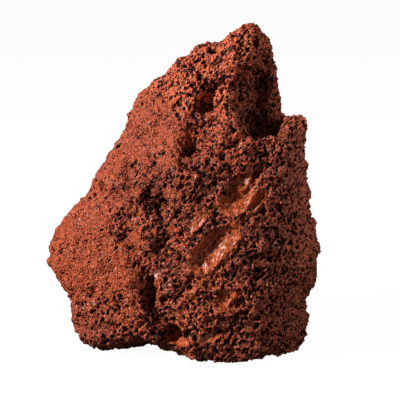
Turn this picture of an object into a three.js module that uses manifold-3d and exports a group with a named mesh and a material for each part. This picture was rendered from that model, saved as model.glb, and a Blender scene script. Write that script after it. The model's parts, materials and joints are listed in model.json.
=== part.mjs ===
import * as THREE from 'three';
import { mergeVertices } from 'three/addons/utils/BufferGeometryUtils.js';
import { ImprovedNoise } from 'three/addons/math/ImprovedNoise.js';
import Module from 'manifold-3d';

// A lump of red scoria, broken off a lava flow and standing on its flat broken foot.
// Millimetres. +Z up, the porous broken face looks along -Y, the bright slab leans to -X.
// Every place and size below is in hundredths of the height, so HEIGHT alone resizes the rock.

const HEIGHT = 150;

const LUMP_HEIGHT = 1.3;
const LUMP_WIDTH = 15;
const OUTLINE_LEAN = THREE.MathUtils.degToRad(10);
const OUTLINE_ROUNDING = 3;
const OUTLINE_SPARE = 0.45;
const EDGE_FULLNESS = 0.011;
const FOOT_ROUNDING = 3.5;
const FOOT_FLARE = 2.1;
const GOUGE_UNEVENNESS = 0.22;
const GOUGE_LUMP_WIDTH = 7;

// How finely the stone is covered: rings of the sphere, rounds of evening out, corners kept in front.
const WRAP_DETAIL = 20;
const RELAX_ROUNDS = 26;
const FRONT_CROWDING = 0.3;
const GOUGE_DETAIL = 4;

// Outline of the rock from the front, on a plane that leans back by OUTLINE_LEAN.
// Clockwise from the peak: the right knobs, below the foot, the left corner, the slab's edge.
const OUTLINE = [
  [20.5, 99.3], [23.5, 97.2], [26.5, 92.5], [29.5, 86.5], [29.2, 80.3], [30.5, 74.5],
  [32.2, 71.2], [35.6, 71.8], [38.8, 70], [39.8, 65.8], [38, 61.5], [38.3, 55], [39, 46],
  [39.2, 40.5], [41.8, 37.2], [42.6, 31], [42.6, 23.5], [41.2, 18.2], [37.8, 15.6],
  [38.6, 9], [39, 3], [38, -6], [20, -12], [-10, -12], [-33, -6], [-34, 4], [-34.2, 10.5],
  [-36.5, 15], [-42.6, 26.6], [-41, 32], [-36.2, 40.3], [-31.2, 44.2], [-28, 50.3],
  [-19.6, 64.4], [-15, 75.6], [-11.5, 81.2], [-5, 84.4], [-0.8, 87.8], [2.2, 88.8],
  [3.6, 91.8], [7.5, 92.8], [11.3, 92.8], [14, 96], [16.4, 95.6], [18, 98],
];

// Outline of the foot the rock stands on.
const FOOT = [
  [-31.5, 6], [-29.5, -6], [-25, -12.5], [-19, -10], [-12, -7], [-5, -9], [0, -17],
  [7, -26.5], [14, -27.5], [24, -22.5], [31.5, -19.5], [35.5, -12], [37.5, 2], [34, 14],
  [22, 20], [4, 23], [-14, 20], [-26, 15],
];

// Valley that parts the slab from the porous block, from below the peak down to the foot.
const VALLEY = [
  [7, -17, 67], [0, -20, 62.5], [-8, -21.5, 59], [-7, -24, 49.5], [-15.5, -24.5, 42],
  [-12.5, -26, 33], [-9.5, -26.5, 20], [-4, -25, 8],
];
const VALLEY_RADIUS = 3.4;

const point = (x, y, z) => new THREE.Vector3(x, y, z);

function smoothMax(a, b, rounding) {
  const overlap = Math.max(rounding - Math.abs(a - b), 0) / rounding;
  return Math.max(a, b) + overlap * overlap * rounding / 4;
}

const smoothMin = (a, b, rounding) => -smoothMax(-a, -b, rounding);

// Distance to a flat face through a point, less than zero on the stone's side.
function facet(normal, through) {
  const direction = point(...normal).normalize();
  const offset = direction.dot(point(...through));
  return (p) => direction.dot(p) - offset;
}

// A block bounded by flat faces whose shared edges are rounded.
function block(facets, rounding) {
  return (p) => facets.map((face) => face(p)).reduce((a, b) => smoothMax(a, b, rounding));
}

// An egg-shaped lump or hollow, rolled about Y by roll degrees: its right side lifts.
function egg(centre, radii, roll = 0) {
  const middle = point(...centre);
  const size = point(...radii);
  const turn = new THREE.Euler(0, THREE.MathUtils.degToRad(roll), 0);
  return (p) => {
    const local = p.clone().sub(middle).applyEuler(turn).divide(size);
    const reach = local.length();
    return reach * (reach - 1) / Math.max(local.divide(size).length(), 1e-6);
  };
}

// Signed distance from a place on a drawing plane to a closed smooth curve on it.
function closedCurve(corners, steps) {
  const curve = new THREE.CatmullRomCurve3(corners.map(([a, b]) => point(a, b, 0)), true, 'centripetal');
  const line = curve.getPoints(steps);
  return (a, b) => {
    let nearest = Infinity;
    let inside = false;
    for (let i = 1; i < line.length; i += 1) {
      const from = line[i - 1];
      const to = line[i];
      const dx = to.x - from.x;
      const dy = to.y - from.y;
      const along = ((a - from.x) * dx + (b - from.y) * dy) / (dx * dx + dy * dy || 1);
      const share = THREE.MathUtils.clamp(along, 0, 1);
      nearest = Math.min(nearest, Math.hypot(a - from.x - share * dx, b - from.y - share * dy));
      if ((from.y > b) !== (to.y > b) && a < from.x + (b - from.y) * dx / dy) inside = !inside;
    }
    return inside ? -nearest : nearest;
  };
}

const noise = new ImprovedNoise();

// Lumpy noise built from three sizes of the same wave.
function lumps(p, size) {
  const broad = noise.noise(p.x / size, p.y / size, p.z / size);
  const middle = noise.noise(p.x * 2.1 / size + 7, p.y * 2.1 / size, p.z * 2.1 / size);
  const small = noise.noise(p.x * 4.3 / size, p.y * 4.3 / size + 3, p.z * 4.3 / size);
  return broad + 0.5 * middle + 0.28 * small;
}

// Slab: the smooth leaning plate that runs from the left corner up to the peak.
const slab = block([
  facet([-0.5, -0.68, 0.54], [-8, -20, 49]),
  facet([-0.54, -0.81, 0.22], [-22, -18.5, 31]),
  facet([0.72, -0.62, 0.05], [-6, -21, 45]),
  facet([-0.86, -0.38, 0.34], [-37, -10, 33]),
  facet([-0.3, -0.87, -0.38], [-25, -19, 13]),
  facet([0.86, -0.1, 0.2], [27, -2, 88]),
  facet([-0.64, 0.76, 0.1], [-24, 15, 30]),
  facet([0.05, 0.985, 0.17], [0, 27, 25]),
], 3);

// Porous block: the broken face that stands in front of the slab on the right.
const porousBlock = block([
  facet([0.02, -0.98, 0.2], [12, -27, 30]),
  facet([-0.02, -1, -0.05], [12, -28, 12]),
  facet([-0.34, -0.93, 0.12], [-4, -24.5, 30]),
  facet([0.52, -0.85, 0.06], [30, -22, 30]),
  facet([0.96, -0.26, 0.02], [39, -10, 30]),
  facet([-0.12, 0.1, 0.98], [22, -16, 69.5]),
  facet([-0.62, -0.1, 0.78], [4, -14, 66]),
  facet([0.78, 0.6, 0.1], [36, 14, 30]),
  facet([0.05, 0.985, 0.17], [0, 27, 25]),
], 3);

// Flat breaks that take the corners off the back.
const breaks = block([
  facet([-0.5, 0.83, 0.2], [-20, 18.5, 42]),
  facet([0.62, 0.76, 0.18], [27, 15, 42]),
  facet([0.12, 0.82, 0.56], [12, 14, 84]),
  facet([-0.72, 0.64, -0.26], [-31, 10, 18]),
  facet([0.15, 0.9, -0.42], [6, 25, 13]),
], 2);

const LUMPS = [
  { shape: egg([18.5, 0, 89], [9.5, 10, 12.5], -20), blend: 5 },
  { shape: egg([5, 3, 85], [10, 9, 8], 0), blend: 5 },
  { shape: egg([21.5, 7, 79], [11, 10.5, 17], 5), blend: 5 },
  { shape: egg([13, -10.5, 69], [6, 8.5, 9.5], -20), blend: 6 },
  { shape: egg([35.4, -3.5, 69.2], [5.6, 7, 5.6], 0), blend: 1.5 },
  { shape: egg([37, 1, 29], [6.5, 9, 12.5], 0), blend: 2 },
  { shape: egg([-34, -2, 27], [9, 9, 10], 0), blend: 5 },
  { shape: egg([-24, -8.5, 9], [10.5, 12.5, 13], 0), blend: 2 },
];

const HOLLOWS = [
  { shape: egg([25, -14, 80.5], [7.5, 14, 12], -20), blend: 2.5 },
  { shape: egg([22, -9, 69.5], [7.5, 8, 4.5], 0), blend: 1.5 },
  { shape: egg([4.5, -18, 65], [6.5, 8, 2.8], 42), blend: 1.5 },
  { shape: egg([8.5, -14, 71], [2.6, 6, 6], -15), blend: 3 },
  { shape: egg([-15.5, -26, 45], [5, 5.5, 8], -30), blend: 2 },
  { shape: egg([41, -11, 43], [4, 5, 5], 0), blend: 2 },
  { shape: egg([-13, -17, -2], [6, 7, 3.4], 0), blend: 2 },
];

// A round-bottomed groove along a curved course.
function groove(path, radius) {
  const course = new THREE.CatmullRomCurve3(path.map(([x, y, z]) => point(x, y, z))).getPoints(40);
  return (p) => Math.min(...course.map((place) => place.distanceTo(p))) - radius;
}

const valley = groove(VALLEY, VALLEY_RADIUS);

const outline = closedCurve(OUTLINE, 220);
const foot = closedCurve(FOOT, 90);

// Depth of the widest section: the slab's edge leans back as it rises, the right edge hardly does.
function widestDepth(p) {
  const lean = p.x < 0 ? 0.12 : 0.036;
  const wander = 3 * noise.noise(p.x / 22, 5, p.z / 22);
  return 2 + lean * (p.z - 30) + wander;
}

// The whole rock as one field, less than zero inside the stone.
function stone(p) {
  let field = smoothMin(slab(p), porousBlock(p), 2.5);
  for (const { shape, blend } of LUMPS) field = smoothMin(field, shape(p), blend);
  for (const { shape, blend } of HOLLOWS) field = smoothMax(field, -shape(p), blend);
  field = smoothMax(field, -valley(p), 3);
  field = smoothMax(field, breaks(p), 2);
  const lean = p.z * Math.cos(OUTLINE_LEAN) + p.y * Math.sin(OUTLINE_LEAN);
  const depth = p.y - widestDepth(p);
  const around = outline(p.x, lean) - OUTLINE_SPARE + EDGE_FULLNESS * depth * depth;
  const under = foot(p.x, p.y) - FOOT_FLARE * Math.max(p.z, 0);
  field += LUMP_HEIGHT * lumps(p, LUMP_WIDTH);
  field = smoothMax(field, around, OUTLINE_ROUNDING);
  return smoothMax(field, under, FOOT_ROUNDING);
}

// Wraps a sphere onto the stone: every ray leaves a spine that leans from the foot to the peak,
// and comes back in from FARTHEST until it meets the stone.
const SPINE = new THREE.LineCurve3(point(0, 0, 22), point(10, 3, 72));
const FARTHEST = 75;
const NEAREST = 4;
const CLOSE_ENOUGH = 0.01;

function wrapStone() {
  const sphere = new THREE.IcosahedronGeometry(1, WRAP_DETAIL);
  sphere.deleteAttribute('normal');
  sphere.deleteAttribute('uv');
  const skin = mergeVertices(sphere, 1e-5);
  const places = skin.attributes.position;
  for (let i = 0; i < places.count; i += 1) {
    const ray = point(places.getX(i), places.getY(i) - FRONT_CROWDING, places.getZ(i)).normalize();
    const start = SPINE.getPoint((ray.z + 1) / 2);
    let reach = FARTHEST;
    let gap = stone(start.clone().addScaledVector(ray, reach));
    while (gap > CLOSE_ENOUGH && reach > NEAREST) {
      reach -= Math.max(0.5 * gap, 0.02);
      gap = stone(start.clone().addScaledVector(ray, reach));
    }
    const landing = start.addScaledVector(ray, reach);
    places.setXYZ(i, landing.x, landing.y, landing.z);
  }
  return skin;
}

// Moves a place straight onto the surface of the stone, by the slope of the field around it.
const FEELER = 0.2;
const LEAST_SLOPE = 0.3;

function settle(p) {
  const gap = stone(p);
  const slope = point(
    stone(p.clone().setX(p.x + FEELER)) - gap,
    stone(p.clone().setY(p.y + FEELER)) - gap,
    stone(p.clone().setZ(p.z + FEELER)) - gap,
  ).divideScalar(FEELER);
  return p.addScaledVector(slope, -gap / Math.max(slope.lengthSq(), LEAST_SLOPE));
}

// Evens the wrapped skin out: each corner moves towards its neighbours and back onto the stone.
const EVENING = 0.6;

function evenOut(skin, rounds) {
  const places = skin.attributes.position;
  const neighbours = Array.from({ length: places.count }, () => new Set());
  for (let i = 0; i < skin.index.count; i += 3) {
    const corners = [0, 1, 2].map((k) => skin.index.getX(i + k));
    for (const a of corners) for (const b of corners) if (a !== b) neighbours[a].add(b);
  }
  for (let round = 0; round < rounds; round += 1) {
    const before = neighbours.map((_, i) => new THREE.Vector3().fromBufferAttribute(places, i));
    neighbours.forEach((around, i) => {
      const middle = point(0, 0, 0);
      for (const other of around) middle.addScaledVector(before[other], 1 / around.size);
      const landing = settle(before[i].clone().lerp(middle, EVENING));
      places.setXYZ(i, landing.x, landing.y, landing.z);
    });
  }
  return skin;
}

const wasm = await Module();
wasm.setup();

function solidFrom(geometry) {
  const bare = geometry.clone();
  bare.deleteAttribute('normal');
  bare.deleteAttribute('uv');
  const merged = mergeVertices(bare, 1e-5);
  const mesh = new wasm.Mesh({
    numProp: 3,
    vertProperties: new Float32Array(merged.attributes.position.array),
    triVerts: new Uint32Array(merged.index.array),
  });
  return new wasm.Manifold(mesh);
}

// A gouge: an uneven egg cut into the face. It is rolled about Y by roll degrees, which lifts its
// right side, and dips by dip degrees, which digs it in under its upper edge.
function gouge({ centre, radii, roll, dip = 0 }) {
  const shape = new THREE.IcosahedronGeometry(1, GOUGE_DETAIL);
  shape.scale(...radii);
  const places = shape.attributes.position;
  for (let i = 0; i < places.count; i += 1) {
    const p = point(places.getX(i), places.getY(i), places.getZ(i));
    p.multiplyScalar(1 + GOUGE_UNEVENNESS * lumps(p.clone().add(point(...centre)), GOUGE_LUMP_WIDTH));
    places.setXYZ(i, p.x, p.y, p.z);
  }
  shape.rotateX(-THREE.MathUtils.degToRad(dip));
  shape.rotateY(-THREE.MathUtils.degToRad(roll));
  shape.translate(...centre);
  return solidFrom(shape);
}

const GOUGES = [
  { centre: [9.8, -26.9, 35], radii: [10.6, 3, 5.2], roll: 42, dip: 34 },
  { centre: [3.6, -25, 42.6], radii: [5, 1.7, 1.9], roll: 50, dip: 20 },
  { centre: [17.6, -24, 51], radii: [8.6, 3, 5], roll: 34, dip: 32 },
  { centre: [21.8, -22.6, 56], radii: [3.1, 4.4, 1.4], roll: 66 },
  { centre: [22.4, -23.4, 49], radii: [4.6, 2.6, 1.3], roll: 50, dip: 20 },
  { centre: [12.4, -28.4, 20.2], radii: [3.6, 2.2, 2], roll: 45, dip: 25 },
  { centre: [17, -28.2, 19.4], radii: [2.4, 1.6, 1.1], roll: 35 },
  { centre: [8.4, -28.4, 8.6], radii: [4.6, 2.2, 1.8], roll: 20, dip: 25 },
  { centre: [-9.4, -23, 21], radii: [1.7, 5, 5.4], roll: -6 },
  { centre: [-2.2, -22.4, 8.4], radii: [3, 6, 3], roll: -30 },
];

let rock = solidFrom(evenOut(wrapStone(), RELAX_ROUNDS));
for (const cut of GOUGES) rock = rock.subtract(gouge(cut));

// Everything below the ground is cut away, which leaves the flat foot.
const GROUND = 200;
const ground = new THREE.BoxGeometry(GROUND, GROUND, GROUND);
ground.translate(0, 0, -GROUND / 2);
rock = rock.subtract(solidFrom(ground));

const cut = rock.getMesh();
const geometry = new THREE.BufferGeometry();
geometry.setAttribute('position', new THREE.BufferAttribute(new Float32Array(cut.vertProperties), 3));
geometry.setIndex(new THREE.BufferAttribute(new Uint32Array(cut.triVerts), 1));

// The middle of the foot is the origin, and the peak is exactly HEIGHT above it.
geometry.computeBoundingBox();
const middle = geometry.boundingBox.getCenter(point(0, 0, 0));
const scale = HEIGHT / geometry.boundingBox.max.z;
geometry.translate(-middle.x, -middle.y, 0);
geometry.scale(scale, scale, scale);
geometry.computeVertexNormals();

const scoria = new THREE.MeshStandardMaterial({ color: 0x8a4433, roughness: 0.92, metalness: 0 });
const lavaRock = new THREE.Mesh(geometry, scoria);
lavaRock.name = 'lava_rock';

const group = new THREE.Group();
group.name = 'red_lava_rock';
group.add(lavaRock);

export default group;
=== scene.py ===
import json
import math

import bpy
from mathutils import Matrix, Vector

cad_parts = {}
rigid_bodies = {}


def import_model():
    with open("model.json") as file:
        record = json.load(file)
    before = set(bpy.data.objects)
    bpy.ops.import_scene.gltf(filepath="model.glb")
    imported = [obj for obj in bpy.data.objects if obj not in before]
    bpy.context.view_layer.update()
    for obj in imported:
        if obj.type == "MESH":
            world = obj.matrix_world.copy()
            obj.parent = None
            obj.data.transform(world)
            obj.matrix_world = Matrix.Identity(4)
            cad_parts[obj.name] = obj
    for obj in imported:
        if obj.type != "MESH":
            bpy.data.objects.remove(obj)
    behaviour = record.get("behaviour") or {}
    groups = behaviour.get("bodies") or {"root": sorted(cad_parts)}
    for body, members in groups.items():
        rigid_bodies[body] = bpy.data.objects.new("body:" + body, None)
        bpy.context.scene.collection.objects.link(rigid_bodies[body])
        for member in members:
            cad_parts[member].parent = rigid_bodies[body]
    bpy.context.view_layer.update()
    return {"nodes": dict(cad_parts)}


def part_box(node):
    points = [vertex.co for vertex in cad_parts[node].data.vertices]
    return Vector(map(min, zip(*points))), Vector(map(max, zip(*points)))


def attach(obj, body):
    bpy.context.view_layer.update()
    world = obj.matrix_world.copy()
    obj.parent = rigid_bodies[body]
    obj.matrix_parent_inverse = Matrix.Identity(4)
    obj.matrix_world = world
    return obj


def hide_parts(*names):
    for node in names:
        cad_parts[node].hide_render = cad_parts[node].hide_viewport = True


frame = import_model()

# A lump of red scoria. The solid gives its form; here it gets its crumbly skin, its gas bubbles
# and its colours. Blender works in metres, and MM turns a place into millimetres for the patterns.
MM = 1000
LOW, HIGH = (Vector(corner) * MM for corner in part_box("lava_rock"))
SIZE = HIGH - LOW

# The skin, in metres. FRONT_CARE keeps more of its triangles in front than at the back, and corners
# closer than TOUCHING are one corner.
SKIN_VOXEL = 0.00040
MOST_TRIANGLES = 198000
FRONT_CARE = 4e-3
TOUCHING = 1e-6

# The bubbles were drawn out as the lava flowed: long along GRAIN, which leans to the upper right.
GRAIN = Vector((0.66, 0.12, 0.75)).normalized()
GRAIN_STRETCH = 0.66
# The ridges in the glossy gouges run along FLOW.
FLOW = Vector((0.60, 0.10, 0.80)).normalized()
FLOW_STRETCH = 0.30
RIDGE_WIDTH, RIDGE_HEIGHT = 2.2, 1.1
RIPPLE_WIDTH, RIPPLE_HEIGHT, RIPPLE_STRETCH = 0.9, 0.8, 0.45

# How the skin is broken up, in millimetres: how wide the crags and lumps are, how far they push it,
# and the share of that which is left where the stone is smoothest.
CRAGS = ((12.0, 6.5, 0.6), (4.6, 2.0, 0.2))
LUMPS = ((9.0, 3.8, 0.6), (3.8, 1.5, 0.4), (1.9, 0.9, 0.7))
PIT_WIDTH, PIT_DEPTH = 6, 4.0
KNEAD_WIDTH, KNEAD_REACH = 3.6, 2.6
CRUMB_WIDTH = 0.85

# Bubble sizes, in millimetres: the width of the cell that holds one bubble, the bubble's radius
# as a share of the cell (smallest, largest), the share of cells that hold one in the porous stone,
# and how plentiful they are on the slab next to that.
BUBBLES = {
    "wide": {"cell": 5.6, "radius": (0.16, 0.29), "share": 0.5, "on slab": 0.12},
    "main": {"cell": 1.6, "radius": (0.36, 0.60), "share": 0.96, "on slab": 0.10},
    "fine": {"cell": 0.95, "radius": (0.34, 0.52), "share": 0.9, "on slab": 0.40},
}

# How dark the painted shade inside each kind of bubble is, which also sets how bright the painted
# highlight on its rim is, and how deep its dent looks as a share of a half ball.
BUBBLE_SHADE = {
    "wide": (0.96, 0.5),
    "main": (0.96, 0.8),
    "fine": (0.92, 1.1),
}

# Glossy gouges in the broken face: middle as a share of the box, radii in millimetres, and in
# degrees how far they lean to the right and dip in under their upper edge.
GOUGES = [
    {"middle": (0.614, 0.026, 0.349), "radii": (16.6, 5.4, 8.2), "lean": 42, "dip": 34},
    {"middle": (0.541, 0.059, 0.425), "radii": (7.9, 3.4, 3.0), "lean": 50, "dip": 20},
    {"middle": (0.706, 0.076, 0.509), "radii": (13.5, 5.4, 7.9), "lean": 34, "dip": 32},
    {"middle": (0.762, 0.086, 0.489), "radii": (7.2, 4.4, 2.4), "lean": 50, "dip": 20},
    {"middle": (0.644, 0.000, 0.202), "radii": (5.7, 3.8, 3.1), "lean": 45, "dip": 25},
    {"middle": (0.597, 0.000, 0.086), "radii": (7.2, 3.8, 2.8), "lean": 20, "dip": 25},
    {"middle": (0.400, 0.093, 0.210), "radii": (2.7, 7.9, 8.5), "lean": -6, "dip": 0},
    {"middle": (0.490, 0.104, 0.060), "radii": (5.0, 7.0, 3.4), "lean": -30, "dip": 0},
]

# Crumbly hollows that break up the slab: middle as a share of the box, and radii in millimetres.
CRUMBLES = [
    {"middle": (0.34, 0.22, 0.50), "radii": (13.0, 16.0, 19.0), "lean": 35, "dip": 0},
    {"middle": (0.31, 0.25, 0.66), "radii": (9.0, 16.0, 8.0), "lean": -20, "dip": 0},
    {"middle": (0.27, 0.16, 0.40), "radii": (5.0, 14.0, 10.0), "lean": 0, "dip": 0},
]

# How ragged the edge of such a hollow is, and how soft.
CRUMBLE_EDGE = (0.9, 0.3)

# Painted shade in the hollow under the peak and behind the ledge.
PAINTED_SHADE_HOLLOWS = [
    {"middle": (0.79, 0.25, 0.79), "radii": (13.0, 24.0, 19.0), "lean": -20, "dip": 0},
    {"middle": (0.76, 0.33, 0.695), "radii": (12.0, 16.0, 8.0), "lean": 0, "dip": 0},
]

# The slab's bounds, in millimetres. Its right edge stands SLAB_EDGE from the middle, and from the
# height SLAB_BEND up it leans to the right by SLAB_LEAN. The pairs are where it fades: SLAB_FOOT and
# SLAB_TOP by height, SLAB_BACK by depth.
SLAB_EDGE, SLAB_BEND, SLAB_LEAN = -18.0, 70.0, 0.82
SLAB_FOOT = (22.0, 34.0)
SLAB_TOP = (104.0, 116.0)
SLAB_BACK = (6.0, 22.0)

# Colours of the stone, as linear red, green, blue and alpha.
MAROON = (0.25, 0.042, 0.022, 1)
ORANGE = (0.47, 0.080, 0.024, 1)
# Painted light: brighter orange towards the peak.
PEAK_PAINTED_LIGHT = (0.78, 0.15, 0.06, 1)
# Painted shade: darker brown towards the lower right.
LOW_RIGHT_PAINTED_SHADE = (0.14, 0.026, 0.015, 1)
# Painted light: a paler right flank.
FLANK_PAINTED_LIGHT = (0.70, 0.165, 0.092, 1)
SLAB_LOW = (0.38, 0.068, 0.025, 1)
SLAB_HIGH = (0.41, 0.084, 0.040, 1)
BLOTCH = (0.18, 0.030, 0.017, 1)
# Paler crumb tops: partly dusted, partly painted highlight.
DUST_AND_HIGHLIGHT = (0.62, 0.18, 0.105, 1)
# Painted shade in the gaps between the crumbs.
GAP_PAINTED_SHADE = (0.06, 0.009, 0.006, 1)
# Painted shade in the troughs of the gouges' ripples.
GLAZE_TROUGH_SHADE = (0.09, 0.014, 0.006, 1)
GLAZE = (0.38, 0.070, 0.017, 1)
# Painted highlight: pale streaks on the crests of the gouges' ripples.
GLAZE_PAINTED_HIGHLIGHT = (0.56, 0.26, 0.20, 1)
# Painted shade in patches of the crumbly hollows.
HOLLOW_PAINTED_SHADE = (0.10, 0.019, 0.013, 1)
# Painted shade in the hollow under the peak and behind the ledge.
LEDGE_PAINTED_SHADE = (0.060, 0.012, 0.009, 1)
# Painted highlight on the bubbles' rims.
BUBBLE_RIM_HIGHLIGHT = (0.68, 0.19, 0.10, 1)
# Painted shade inside the bubbles.
BUBBLE_INSIDE_SHADE = (0.022, 0.004, 0.0025, 1)


def at(share):
    """A place in millimetres from its share of the rock's box."""
    return Vector([low + size * part for low, size, part in zip(LOW, SIZE, share)])


class Graph:
    """Adds nodes to a geometry or shader tree. An input takes a plain value or another node's output."""

    def __init__(self, tree):
        self.tree = tree

    def feed(self, socket, value):
        if isinstance(value, bpy.types.NodeSocket):
            self.tree.links.new(value, socket)
        else:
            socket.default_value = value

    def add(self, kind, inputs=None, **settings):
        node = self.tree.nodes.new(kind)
        for name, value in settings.items():
            setattr(node, name, value)
        for name, value in (inputs or {}).items():
            self.feed(node.inputs[name], value)
        return node

    def math(self, operation, *terms):
        node = self.add("ShaderNodeMath", operation=operation)
        for socket, term in zip(node.inputs, terms):
            self.feed(socket, term)
        return node.outputs[0]

    def vector(self, operation, *terms):
        node = self.add("ShaderNodeVectorMath", operation=operation)
        sockets = [s for s in node.inputs if s.enabled]
        for socket, term in zip(sockets, terms):
            self.feed(socket, term)
        return next(s for s in node.outputs if s.enabled)

    def join(self, x, y, z):
        return self.add("ShaderNodeCombineXYZ", {"X": x, "Y": y, "Z": z}).outputs[0]

    def split(self, vector):
        return self.add("ShaderNodeSeparateXYZ", {"Vector": vector}).outputs

    def ramp(self, value, low, high, start=0.0, end=1.0):
        """Goes smoothly from start to end while value goes from low to high."""
        node = self.add("ShaderNodeMapRange", interpolation_type="SMOOTHSTEP")
        for name, number in (("Value", value), ("From Min", low), ("From Max", high)):
            self.feed(node.inputs[name], number)
        self.feed(node.inputs["To Min"], start)
        self.feed(node.inputs["To Max"], end)
        return node.outputs["Result"]

    def noise(self, where, size, detail=3.0, roughness=0.55):
        """Cloudy noise whose lumps are about size millimetres wide."""
        node = self.add("ShaderNodeTexNoise", noise_type="FBM")
        for name, value in (("Vector", where), ("Scale", 1 / size), ("Detail", detail),
                            ("Roughness", roughness)):
            self.feed(node.inputs[name], value)
        return node

    def wave(self, where, size, detail=3.0, roughness=0.55):
        """The noise's height, from about -1 to 1."""
        height = self.noise(where, size, detail, roughness).outputs["Fac"]
        return self.math("MULTIPLY_ADD", height, 2.0, -1.0)

    def push(self, where, size, detail):
        """A wandering direction, from about -0.5 to 0.5 on each axis."""
        return self.vector("SUBTRACT", self.noise(where, size, detail).outputs["Color"], (0.5, 0.5, 0.5))

    def mix(self, share, first, second):
        """The first colour where share is 0, the second where it is 1."""
        node = self.add("ShaderNodeMix", data_type="RGBA", blend_type="MIX")
        colours = [s for s in node.inputs if s.type == "RGBA"]
        self.feed(node.inputs["Factor"], share)
        self.feed(colours[0], first)
        self.feed(colours[1], second)
        return next(s for s in node.outputs if s.type == "RGBA")


def drawn_out(g, vector, direction, stretch):
    """A place or a way measured along and across a direction, and made shorter along it."""
    across = direction.cross(Vector((0, 1, 0))).normalized()
    axes = (direction * stretch, across, direction.cross(across))
    return g.join(*[g.vector("DOT_PRODUCT", vector, tuple(axis)) for axis in axes])


def bubble_space(g, place):
    """Where a place is among the bubbles: drawn out along the grain, and kneaded a little."""
    kneaded = g.vector("ADD", place, g.vector("SCALE", g.push(place, KNEAD_WIDTH, 1), KNEAD_REACH))
    return drawn_out(g, kneaded, GRAIN, GRAIN_STRETCH)


def bubble(g, place, kind, slab, gouge):
    """The bubble nearest to a place: the way to its middle, and its radius (0 where there is none)."""
    sizes = BUBBLES[kind]
    closed = g.math("MAXIMUM", g.math("MULTIPLY", slab, 1.0 - sizes["on slab"]), gouge)
    plenty = g.math("SUBTRACT", 1.0, closed)
    cells = g.add("ShaderNodeTexVoronoi", {"Vector": place, "Scale": 1 / sizes["cell"]}, feature="F1")
    chance = g.split(cells.outputs["Color"])
    smallest, largest = (share * sizes["cell"] for share in sizes["radius"])
    radius = g.math("MULTIPLY_ADD", chance[0], largest - smallest, smallest)
    there = g.math("LESS_THAN", chance[1], g.math("MULTIPLY", plenty, sizes["share"]))
    towards = g.vector("SUBTRACT", cells.outputs["Position"], place)
    return towards, g.math("MULTIPLY", radius, there)


def bubble_depth(g, towards, radius, inward):
    """How far inward a place lies from the far wall of a round bubble that it is in."""
    run = g.vector("DOT_PRODUCT", inward, inward)
    lead = g.vector("DOT_PRODUCT", towards, inward)
    off = g.vector("DOT_PRODUCT", towards, towards)
    room = g.math("SUBTRACT", g.math("MULTIPLY", radius, radius), off)
    inside = g.math("GREATER_THAN", room, 0.0)
    root = g.math("SQRT", g.math("MULTIPLY_ADD", g.math("MAXIMUM", room, 0.0), run,
                                 g.math("MULTIPLY", lead, lead)))
    depth = g.math("DIVIDE", g.math("ADD", lead, root), run)
    return g.math("MULTIPLY", depth, inside)


def egg_share(g, place, eggs, unevenness, soft):
    """1 inside any of the leaning eggs of a list, 0 away from them, with an uneven edge."""
    rough = g.math("MULTIPLY", g.wave(place, 5, detail=3), unevenness)
    total = None
    for egg in eggs:
        lean, dip = math.radians(egg["lean"]), math.radians(egg["dip"])
        right = Vector((math.cos(lean), 0, math.sin(lean)))
        up = Vector((-math.sin(lean), 0, math.cos(lean)))
        inward = Vector((0, 1, 0))
        axes = (right, inward * math.cos(dip) - up * math.sin(dip),
                up * math.cos(dip) + inward * math.sin(dip))
        offset = g.vector("SUBTRACT", place, tuple(at(egg["middle"])))
        parts = [g.vector("DOT_PRODUCT", offset, tuple(axis / radius))
                 for axis, radius in zip(axes, egg["radii"])]
        reach = g.vector("LENGTH", g.join(*parts))
        share = g.ramp(g.math("ADD", rough, reach), 1.0 - soft, 1.0 + soft, 1.0, 0.0)
        total = share if total is None else g.math("MAXIMUM", total, share)
    return total


def gouge_share(g, place):
    """1 inside the glossy gouges, 0 away from them."""
    return egg_share(g, place, GOUGES, 0.35, 0.09)


def slab_share(g, place):
    """1 on the smooth slab at the left, 0 on the porous stone around it."""
    x, y, z = g.split(place)
    rough = g.wave(place, 16, detail=4)
    rise = g.math("MAXIMUM", g.math("SUBTRACT", z, SLAB_BEND), 0.0)
    edge = g.math("MULTIPLY_ADD", rise, SLAB_LEAN, SLAB_EDGE)
    inside = g.math("MULTIPLY_ADD", rough, 9.0, g.math("SUBTRACT", edge, x))
    left = g.ramp(inside, -2.0, 5.0)
    above = g.ramp(g.math("MULTIPLY_ADD", rough, 8.0, z), *SLAB_FOOT, 0.35, 1.0)
    top = g.math("MULTIPLY_ADD", x, 0.55, g.math("MULTIPLY_ADD", rough, 9.0, z))
    below = g.ramp(top, *SLAB_TOP, 1.0, 0.0)
    front = g.ramp(y, *SLAB_BACK, 1.0, 0.35)
    whole = g.ramp(egg_share(g, place, CRUMBLES, *CRUMBLE_EDGE), 0.0, 1.0, 1.0, 0.3)
    share = g.math("MULTIPLY", g.math("MULTIPLY", left, above), g.math("MULTIPLY", below, front))
    return g.math("MULTIPLY", share, whole)


def new_geometry_graph(name):
    tree = bpy.data.node_groups.new(name, "GeometryNodeTree")
    tree.interface.new_socket("Geometry", in_out="INPUT", socket_type="NodeSocketGeometry")
    tree.interface.new_socket("Geometry", in_out="OUTPUT", socket_type="NodeSocketGeometry")
    g = Graph(tree)
    source = g.add("NodeGroupInput").outputs["Geometry"]
    sink = g.add("NodeGroupOutput").inputs["Geometry"]
    return g, source, sink


def place_mm(g):
    return g.vector("SCALE", g.add("GeometryNodeInputPosition").outputs[0], MM)


def shift(g, geometry, offset_mm):
    """Moves the skin by an offset in millimetres."""
    offset = g.vector("SCALE", offset_mm, 1 / MM)
    return g.add("GeometryNodeSetPosition", {"Geometry": geometry, "Offset": offset}).outputs[0]


def billow(g, place, size):
    """Round lumps with sharp creases between them: 0 in a crease, up to 1 on a lump."""
    return g.math("ABSOLUTE", g.wave(place, size, detail=2))


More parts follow.
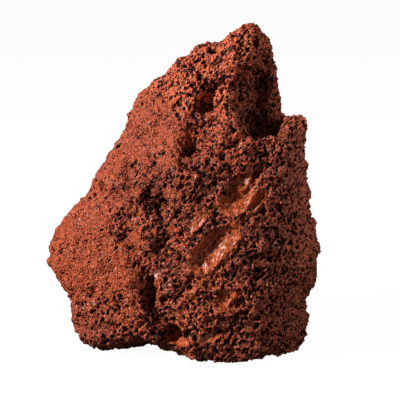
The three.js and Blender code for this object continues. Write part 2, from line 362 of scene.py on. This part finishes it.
def store(g, skin, name, value, kind="FLOAT"):
    """Writes a value down on every corner of the skin."""
    node = g.add("GeometryNodeStoreNamedAttribute", {"Geometry": skin, "Name": name},
                 data_type=kind, domain="POINT")
    g.feed(next(s for s in node.inputs if s.name == "Value" and s.enabled), value)
    return node.outputs[0]


def stored(g, name):
    """A number that was written down on the skin."""
    node = g.add("GeometryNodeInputNamedAttribute", {"Name": name}, data_type="FLOAT")
    return next(s for s in node.outputs if s.name == "Attribute" and s.enabled)


def crag_nodes():
    """Crumbles the skin: crags, lumps and crumbs, weaker on the slab, and ridges in the gouges."""
    g, skin, out = new_geometry_graph("crags")
    place = place_mm(g)
    normal = g.add("GeometryNodeInputNormal").outputs[0]
    slab = slab_share(g, place)
    gouge = gouge_share(g, place)
    rough = g.math("SUBTRACT", 1.0, g.math("MAXIMUM", g.math("MULTIPLY", slab, 0.45), gouge))

    offset = (0.0, 0.0, 0.0)
    for size, reach, least in CRAGS:
        push = g.vector("SCALE", g.push(place, size, 2), g.ramp(rough, 0.0, 1.0, reach * least, reach))
        offset = g.vector("ADD", offset, push)

    pocks = g.ramp(g.wave(place, PIT_WIDTH, detail=5, roughness=0.65), 0.06, 0.34)
    crumbly = g.math("MAXIMUM", egg_share(g, place, CRUMBLES, *CRUMBLE_EDGE),
                     g.math("MULTIPLY", rough, 0.3))
    pit = g.math("MULTIPLY", pocks, crumbly)
    lift = g.math("MULTIPLY", pit, -PIT_DEPTH)
    for size, height, least in LUMPS:
        lump = g.math("SUBTRACT", billow(g, place, size), 0.2)
        lump = g.math("MULTIPLY", lump, g.ramp(rough, 0.0, 1.0, height * least, height))
        lift = g.math("ADD", lift, lump)
    ridge = g.wave(drawn_out(g, place, FLOW, FLOW_STRETCH), RIDGE_WIDTH, detail=2)
    lift = g.math("MULTIPLY_ADD", g.math("MULTIPLY", ridge, gouge), RIDGE_HEIGHT, lift)
    offset = g.vector("ADD", offset, g.vector("SCALE", normal, lift))
    whole = g.ramp(pit, 0.05, 0.5, 1.0, 0.1)
    skin = store(g, skin, "slab", g.math("MULTIPLY", slab, whole))
    skin = store(g, skin, "gouge", gouge)
    g.feed(out, shift(g, skin, offset))
    return g.tree


def bubble_nodes():
    """Opens gas bubbles in the skin: every place inside a bubble moves inward to its far wall.

    The place that it had on the unbroken skin stays written down as "uncut", for the material.
    """
    g, skin, out = new_geometry_graph("bubbles")
    place = place_mm(g)
    normal = g.add("GeometryNodeInputNormal").outputs[0]
    skin = store(g, skin, "uncut", place, "FLOAT_VECTOR")
    facing = g.split(normal)[1]
    skin = store(g, skin, "away", g.ramp(facing, -0.1, 0.4, 0.1, 1.0))
    slab, gouge = stored(g, "slab"), stored(g, "gouge")
    inward = g.vector("SCALE", drawn_out(g, normal, GRAIN, GRAIN_STRETCH), -1.0)
    among = bubble_space(g, place)
    depths = [bubble_depth(g, *bubble(g, among, kind, slab, gouge), inward)
              for kind in ("wide", "main")]
    depth = g.math("MAXIMUM", *depths)
    g.feed(out, shift(g, skin, g.vector("SCALE", normal, g.math("MULTIPLY", depth, -1.0))))
    return g.tree


def foot_nodes():
    """Rubs the foot flat: nothing reaches below the ground that the stone stands on."""
    g, skin, out = new_geometry_graph("foot")
    place = g.add("GeometryNodeInputPosition").outputs[0]
    x, y, z = g.split(place)
    rubbed = g.join(x, y, g.math("MAXIMUM", z, LOW.z / MM))
    g.feed(out, g.add("GeometryNodeSetPosition", {"Geometry": skin, "Position": rubbed}).outputs[0])
    return g.tree


def pick(piece):
    bpy.ops.object.select_all(action="DESELECT")
    piece.select_set(True)
    bpy.context.view_layer.objects.active = piece


def apply_modifier(piece, kind, **settings):
    modifier = piece.modifiers.new(kind.lower(), kind)
    for name, value in settings.items():
        setattr(modifier, name, value)
    pick(piece)
    bpy.ops.object.modifier_apply(modifier=modifier.name)


def clear_crumbs(skin):
    """Merges corners that touch, and deletes whatever doesn't hang together with the stone's peak."""
    pick(skin)
    bpy.ops.object.mode_set(mode="EDIT")
    bpy.ops.mesh.select_mode(type="VERT")
    bpy.ops.mesh.select_all(action="SELECT")
    bpy.ops.mesh.remove_doubles(threshold=TOUCHING)
    bpy.ops.mesh.dissolve_degenerate(threshold=TOUCHING)
    bpy.ops.mesh.select_all(action="DESELECT")
    bpy.ops.object.mode_set(mode="OBJECT")
    max(skin.data.vertices, key=lambda corner: corner.co.z).select = True
    bpy.ops.object.mode_set(mode="EDIT")
    bpy.ops.mesh.select_linked()
    bpy.ops.mesh.select_all(action="INVERT")
    bpy.ops.mesh.delete(type="VERT")
    bpy.ops.mesh.select_all(action="SELECT")
    bpy.ops.mesh.quads_convert_to_tris()
    bpy.ops.object.mode_set(mode="OBJECT")


def crumbly_skin(material):
    """The whole stone as one closed skin, with its crags and open bubbles in the mesh itself."""
    mesh = frame["nodes"]["lava_rock"].data.copy()
    skin = bpy.data.objects.new("stone_skin", mesh)
    bpy.context.scene.collection.objects.link(skin)
    pick(skin)
    bpy.ops.object.mode_set(mode="EDIT")
    bpy.ops.mesh.select_all(action="SELECT")
    bpy.ops.mesh.remove_doubles(threshold=TOUCHING)
    bpy.ops.object.mode_set(mode="OBJECT")
    apply_modifier(skin, "REMESH", mode="VOXEL", voxel_size=SKIN_VOXEL)
    skin.vertex_groups.new(name="away")
    apply_modifier(skin, "NODES", node_group=crag_nodes())
    apply_modifier(skin, "NODES", node_group=bubble_nodes())
    triangles = 2 * len(skin.data.polygons)
    if triangles > MOST_TRIANGLES:
        apply_modifier(skin, "DECIMATE", ratio=MOST_TRIANGLES / triangles, vertex_group="away",
                       vertex_group_factor=FRONT_CARE)
    apply_modifier(skin, "NODES", node_group=foot_nodes())
    clear_crumbs(skin)
    skin.vertex_groups.clear()
    bpy.ops.object.shade_smooth()
    skin.data.materials.clear()
    skin.data.materials.append(material)
    return skin


def new_material(name):
    material = bpy.data.materials.new(name)
    material.use_nodes = True
    material.node_tree.nodes.clear()
    g = Graph(material.node_tree)
    shader = g.add("ShaderNodeBsdfPrincipled")
    g.feed(g.add("ShaderNodeOutputMaterial").inputs["Surface"], shader.outputs["BSDF"])
    return material, g, shader


def tones_and_painted_light(g, place, slab):
    """Broad drifts from orange to maroon, painted light on the peak and the right flank, painted
    shade towards the lower right, the dusty slab, and blotches a few millimetres wide."""
    x, _, z = g.split(place)
    brick = g.mix(g.ramp(g.wave(place, 34, detail=3), -0.3, 0.3), MAROON, ORANGE)
    # Painted light: the stone turns brighter orange towards the peak.
    brick = g.mix(g.ramp(z, 85.0, 128.0, 0.0, 0.75), brick, PEAK_PAINTED_LIGHT)
    # Painted shade: darker brown towards the lower right.
    low_right_shade = g.ramp(g.math("MULTIPLY_ADD", z, -0.6, x), -15.0, 42.0)
    brick = g.mix(g.math("MULTIPLY", low_right_shade, 0.6), brick, LOW_RIGHT_PAINTED_SHADE)
    # Painted light: paler towards the right flank.
    flank = g.math("MULTIPLY", g.ramp(x, 34.0, 56.0), g.ramp(z, 25.0, 55.0))
    brick = g.mix(g.math("MULTIPLY", flank, 0.8), brick, FLANK_PAINTED_LIGHT)
    brick = g.mix(slab, brick, g.mix(g.ramp(z, 40.0, 90.0), SLAB_LOW, SLAB_HIGH))
    blotch = g.ramp(g.wave(place, 5, detail=5, roughness=0.65), -0.25, 0.4)
    return g.mix(g.math("MULTIPLY", blotch, 0.5), brick, BLOTCH)


def crumbed(g, brick, crumb, slab):
    """Crumb tops dusty and painted highlight, painted shade in the gaps between, most on the slab."""
    # Paler crumb tops: partly dusted, partly painted highlight.
    top_dust_and_highlight = g.ramp(crumb, 0.06, 0.36)
    brick = g.mix(g.math("MULTIPLY", top_dust_and_highlight, 0.5), brick, DUST_AND_HIGHLIGHT)
    # Painted shade in the gaps between the crumbs, strongest on the slab.
    gap_shade = g.ramp(crumb, -0.34, -0.04, 1.0, 0.0)
    loose = g.ramp(slab, 0.0, 1.0, 0.5, 1.0)
    return g.mix(g.math("MULTIPLY", g.math("MULTIPLY", gap_shade, loose), 0.8), brick, GAP_PAINTED_SHADE)


def glazed(g, place, ripple):
    """The gouges' glossy orange-brown, with painted shade in ripple troughs and painted highlights on
    crests.
    """
    # Painted highlight streaks on the ripples' crests.
    crest_highlight = g.math("MULTIPLY", g.ramp(ripple, 0.0, 0.35), g.ramp(g.wave(place, 7), -0.15, 0.25))
    # Painted shade in the ripples' troughs.
    glaze = g.mix(g.ramp(ripple, -0.35, 0.1), GLAZE_TROUGH_SHADE, GLAZE)
    return g.mix(g.math("MULTIPLY", crest_highlight, 0.6), glaze, GLAZE_PAINTED_HIGHLIGHT)


def darkened(g, place, brick):
    """Painted shade in the crumbly hollows, and under the peak and behind the ledge."""
    crumbly = egg_share(g, place, CRUMBLES, *CRUMBLE_EDGE)
    # Painted shade in patches of the crumbly hollows.
    hollow_shade = g.math("MULTIPLY", crumbly, g.ramp(g.wave(place, 6), -0.2, 0.15))
    brick = g.mix(g.math("MULTIPLY", hollow_shade, 0.6), brick, HOLLOW_PAINTED_SHADE)
    # Painted shade in the hollow under the peak and behind the ledge.
    ledge_shade = egg_share(g, place, PAINTED_SHADE_HOLLOWS, 0.5, 0.35)
    return g.mix(g.math("MULTIPLY", ledge_shade, 0.75), brick, LEDGE_PAINTED_SHADE)


def bubble_marks(g, uncut, slab, gouge):
    """The painted shade inside a bubble, the painted highlight on its rim, and how deep its dent is."""
    among = bubble_space(g, uncut)
    dark, rim, dent = 0.0, 0.0, 0.0
    for kind, (strength, sink) in BUBBLE_SHADE.items():
        towards, radius = bubble(g, among, kind, slab, gouge)
        off = g.vector("LENGTH", towards)
        ratio = g.math("DIVIDE", off, g.math("MAXIMUM", radius, 0.001))
        # Painted shade inside the bubble, and a painted highlight on its rim.
        dark = g.math("MAXIMUM", dark, g.ramp(ratio, 0.82, 1.04, strength, 0.0))
        rim = g.math("MAXIMUM", rim, g.ramp(ratio, 1.02, 1.35, strength, 0.0))
        room = g.math("SUBTRACT", g.math("MULTIPLY", radius, radius), g.math("MULTIPLY", off, off))
        depth = g.math("MULTIPLY", g.math("SQRT", g.math("MAXIMUM", room, 0.0)), sink)
        dent = g.math("MAXIMUM", dent, depth)
    return dark, rim, dent


def scoria():
    """Red-brown scoria: dusty brick on the slab, painted shade near black in the bubbles, glossy in the
    gouges.
    """
    material, g, shader = new_material("red scoria")
    place = g.vector("SCALE", g.add("ShaderNodeTexCoord").outputs["Object"], MM)
    slab = g.add("ShaderNodeAttribute", attribute_name="slab").outputs["Fac"]
    gouge = g.add("ShaderNodeAttribute", attribute_name="gouge").outputs["Fac"]
    uncut = g.add("ShaderNodeAttribute", attribute_name="uncut").outputs["Vector"]
    plain = g.math("SUBTRACT", 1.0, gouge)
    crumb = g.wave(place, CRUMB_WIDTH, detail=1, roughness=0.6)
    ripple = g.wave(drawn_out(g, place, FLOW, RIPPLE_STRETCH), RIPPLE_WIDTH, detail=2)
    dark, rim, dent = bubble_marks(g, uncut, slab, gouge)

    brick = crumbed(g, tones_and_painted_light(g, place, slab), crumb, slab)
    brick = g.mix(gouge, brick, glazed(g, place, ripple))
    brick = darkened(g, place, brick)
    # Painted highlight on the bubbles' rims.
    brick = g.mix(g.math("MULTIPLY", rim, 0.35), brick, BUBBLE_RIM_HIGHLIGHT)
    # Painted shade, near black, inside the bubbles.
    g.feed(shader.inputs["Base Color"], g.mix(dark, brick, BUBBLE_INSIDE_SHADE))

    # The slab is matte, the bubbles' rims have a slight sheen and the gouges shine.
    matte = g.ramp(slab, 0.0, 0.8, 0.55, 0.9)
    shine = g.ramp(ripple, -0.4, 0.4, 0.6, 0.36)
    roughness = g.math("ADD", g.math("MULTIPLY", plain, matte), g.math("MULTIPLY", gouge, shine))
    g.feed(shader.inputs["Roughness"], roughness)
    wet = g.math("MAXIMUM", g.math("MULTIPLY", gouge, 0.3), g.math("MULTIPLY", rim, 0.25))
    g.feed(shader.inputs["Coat Weight"], g.math("MULTIPLY", wet, g.math("SUBTRACT", 1.0, dark)))
    shader.inputs["Coat Roughness"].default_value = 0.32
    shader.inputs["Specular IOR Level"].default_value = 0.06

    # Fine relief in millimetres: crumbs, coarser on the slab, ripples in the gouges, and dents.
    coarse = g.ramp(slab, 0.0, 1.0, 0.8, 1.1)
    crumbs = g.math("MULTIPLY_ADD", crumb, coarse, g.wave(place, 3.0, detail=2))
    relief = g.math("MULTIPLY_ADD", g.math("MULTIPLY", ripple, gouge), RIPPLE_HEIGHT,
                    g.math("MULTIPLY", crumbs, plain))
    relief = g.math("SUBTRACT", relief, dent)
    bump = g.add("ShaderNodeBump", {"Height": relief, "Strength": 1.0, "Distance": 1 / MM})
    g.feed(shader.inputs["Normal"], bump.outputs[0])
    return material


def plain_floor():
    """A pale floor that stays bright where the eye sees it and dim where it would light the rock."""
    width = 14
    bpy.ops.mesh.primitive_plane_add(size=width, location=(0, 0, 0))
    floor = bpy.context.object
    floor.name = "floor"
    material, g, shader = new_material("pale floor")
    shader.inputs["Base Color"].default_value = (0.10, 0.10, 0.10, 1)
    shader.inputs["Roughness"].default_value = 0.8
    seen = g.add("ShaderNodeLightPath").outputs["Is Camera Ray"]
    shader.inputs["Emission Color"].default_value = (1, 1, 1, 1)
    g.feed(shader.inputs["Emission Strength"], g.math("MULTIPLY", seen, 0.96))
    floor.data.materials.append(material)


def soft_light(name, direction, distance, width, power, target):
    spot = Vector(direction).normalized() * distance + target
    lamp = bpy.data.lights.new(name, "AREA")
    lamp.shape = "DISK"
    lamp.size = width
    lamp.energy = power
    light = bpy.data.objects.new(name, lamp)
    bpy.context.scene.collection.objects.link(light)
    light.location = spot
    light.rotation_euler = (target - spot).to_track_quat("-Z", "Y").to_euler()


def studio():
    """A small key light from the upper left, a broad weak fill in front and a rim light at the right."""
    middle = (LOW + HIGH) / 2 / MM
    soft_light("key", (-0.84, -0.40, 0.46), 0.75, 0.06, 12.2, middle)
    soft_light("fill", (0.25, -1.0, 0.30), 1.4, 0.9, 1.6, middle)
    soft_light("rim", (1.0, -0.20, 0.35), 1.3, 0.4, 7.5, middle)
    world = bpy.data.worlds.new("studio")
    world.use_nodes = True
    g = Graph(world.node_tree)
    seen = g.add("ShaderNodeLightPath").outputs["Is Camera Ray"]
    strength = g.ramp(seen, 0.0, 1.0, 0.03, 1.0)
    background = next(n for n in world.node_tree.nodes if n.type == "BACKGROUND")
    background.inputs["Color"].default_value = (1, 1, 1, 1)
    g.feed(background.inputs["Strength"], strength)
    bpy.context.scene.world = world
    bpy.context.scene.view_settings.view_transform = "Standard"


def camera():
    """A long lens from the front, ten degrees above the floor, that takes in view_width metres."""
    elevation = math.radians(10)
    distance = 0.70
    view_width = 0.18702
    target = Vector((0.0075, 0, 0.0672))
    lens = bpy.data.cameras.new("camera")
    lens.sensor_width = 36
    lens.lens = lens.sensor_width * distance / view_width
    eye = bpy.data.objects.new("camera", lens)
    bpy.context.scene.collection.objects.link(eye)
    back = Vector((0, -math.cos(elevation), math.sin(elevation)))
    eye.location = target + back * distance
    eye.rotation_euler = (-back).to_track_quat("-Z", "Y").to_euler()
    bpy.context.scene.camera = eye


camera()
studio()
plain_floor()
rock = crumbly_skin(scoria())
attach(rock, "root")
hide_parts("lava_rock")
